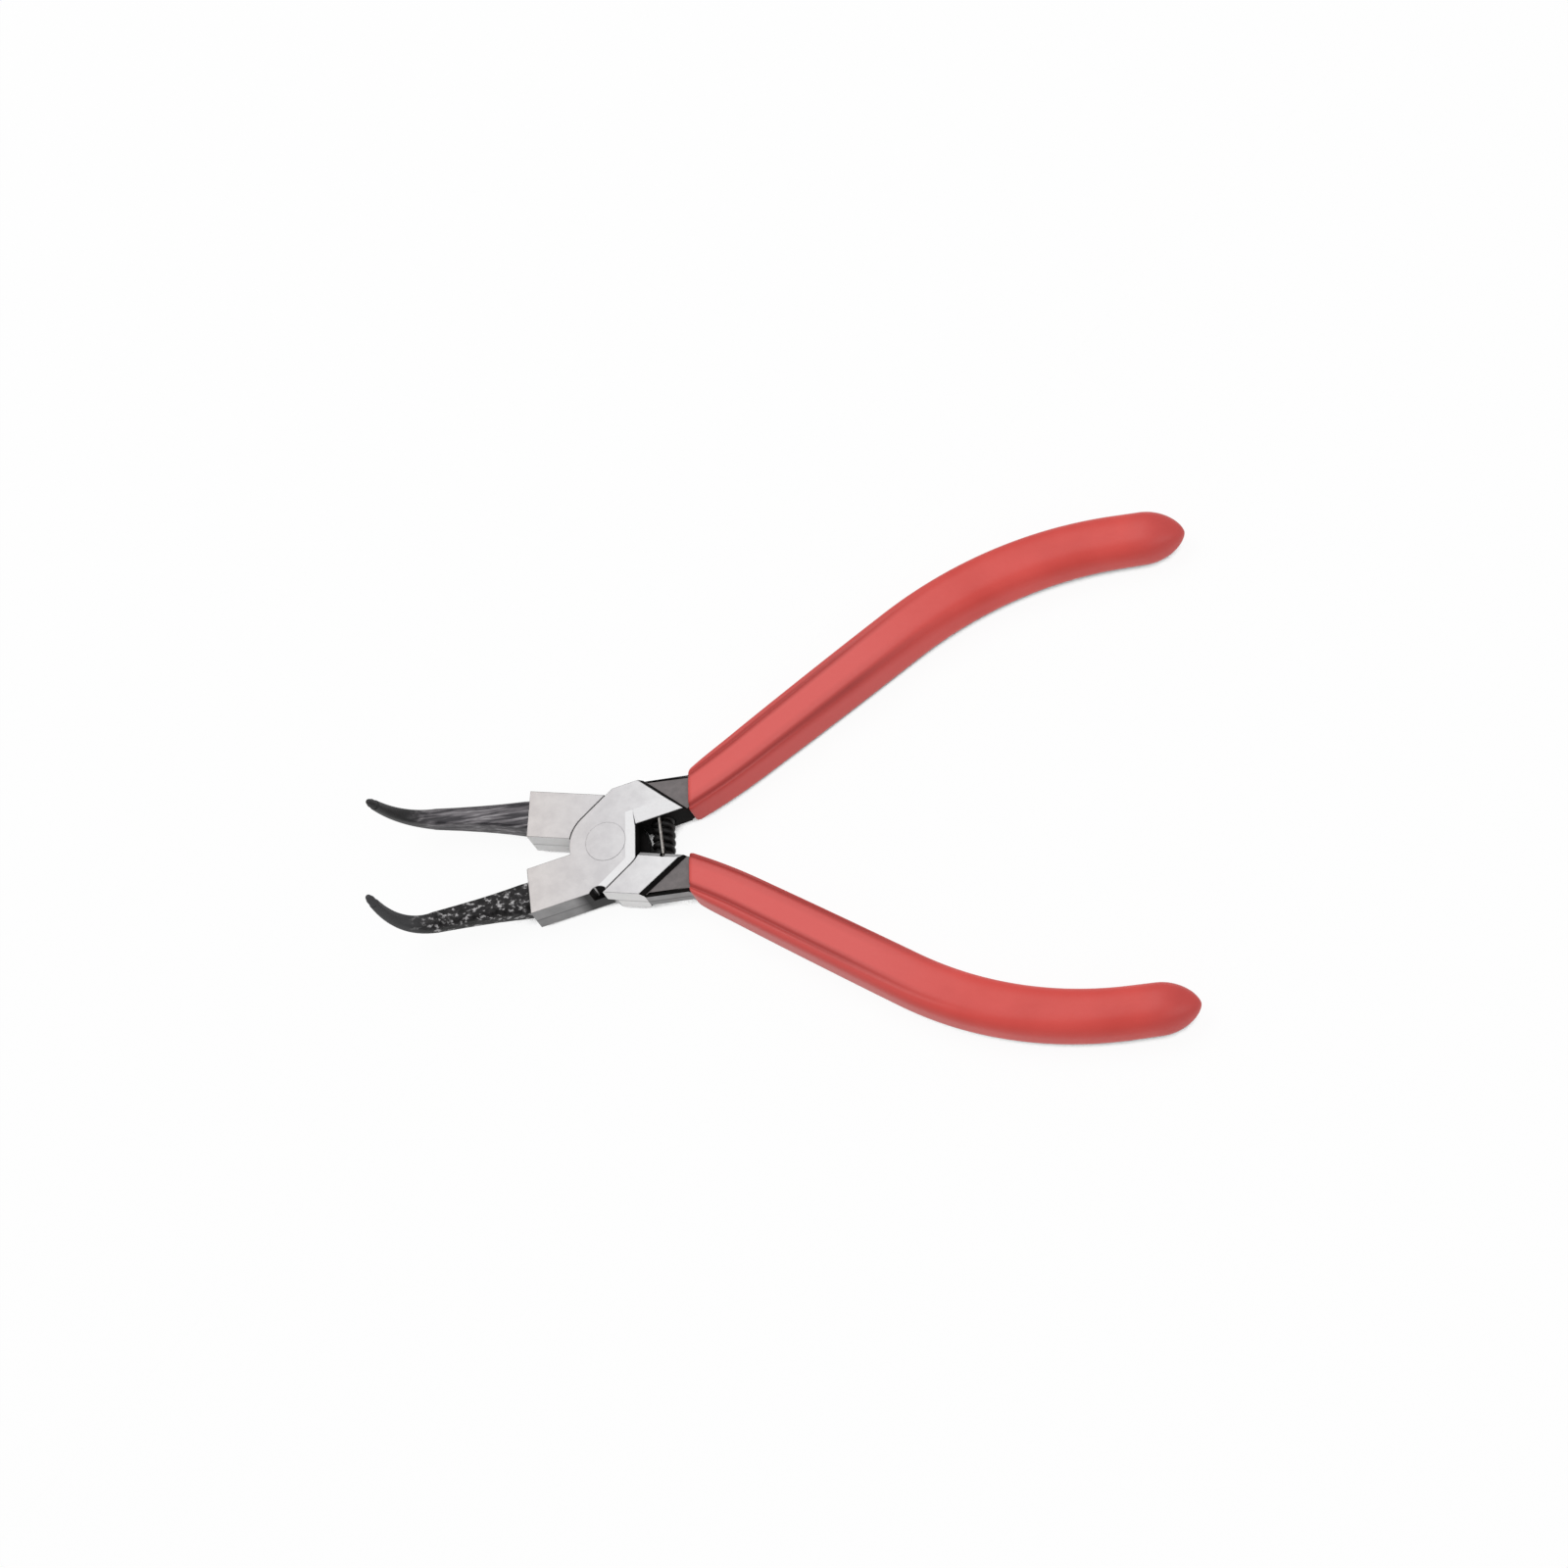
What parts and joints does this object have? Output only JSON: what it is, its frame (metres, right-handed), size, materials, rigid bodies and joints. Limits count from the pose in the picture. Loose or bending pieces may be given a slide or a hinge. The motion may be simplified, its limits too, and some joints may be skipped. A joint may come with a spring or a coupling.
{
  "type": "circlip pliers",
  "caption": "Internal circlip pliers with bent tips: lapped levers on a flush rivet, a return spring on a guide pin and dipped grips; squeezing shuts the tips.",
  "frame": {"origin": "on the rivet's axis, in the plane of the flat back of the joint", "axes": "+X along the tool towards the handle ends, +Y across it towards the front lever's handle, +Z along the rivet towards the bent tips"},
  "size_m": [0.1707, 0.1152, 0.0206],
  "materials": {
    "lever_steel": "black forged, joint faces ground bright",
    "rivet_steel": "ground bright",
    "red_vinyl": "satin",
    "spring_steel": "black oxide",
    "pin_steel": "bright"
  },
  "bodies": {
    "front_half": {"front_lever": "lever_steel", "pivot_rivet": "rivet_steel", "front_grip": "red_vinyl", "spring_guide_pin": "pin_steel", "return_spring": "spring_steel"},
    "rear_half": {"rear_lever": "lever_steel", "rear_grip": "red_vinyl"}
  },
  "joints": [
    {"name": "pivot", "type": "hinge", "parent": "front_half", "child": "rear_half", "pos_m": [0, 0, 0.0036], "axis": [0, 0, 1], "range_deg": [0, 23.2], "stiffness_Nm_per_rad": 0.4, "springref_deg": -5.16, "deforming": ["return_spring"]}
  ]
}
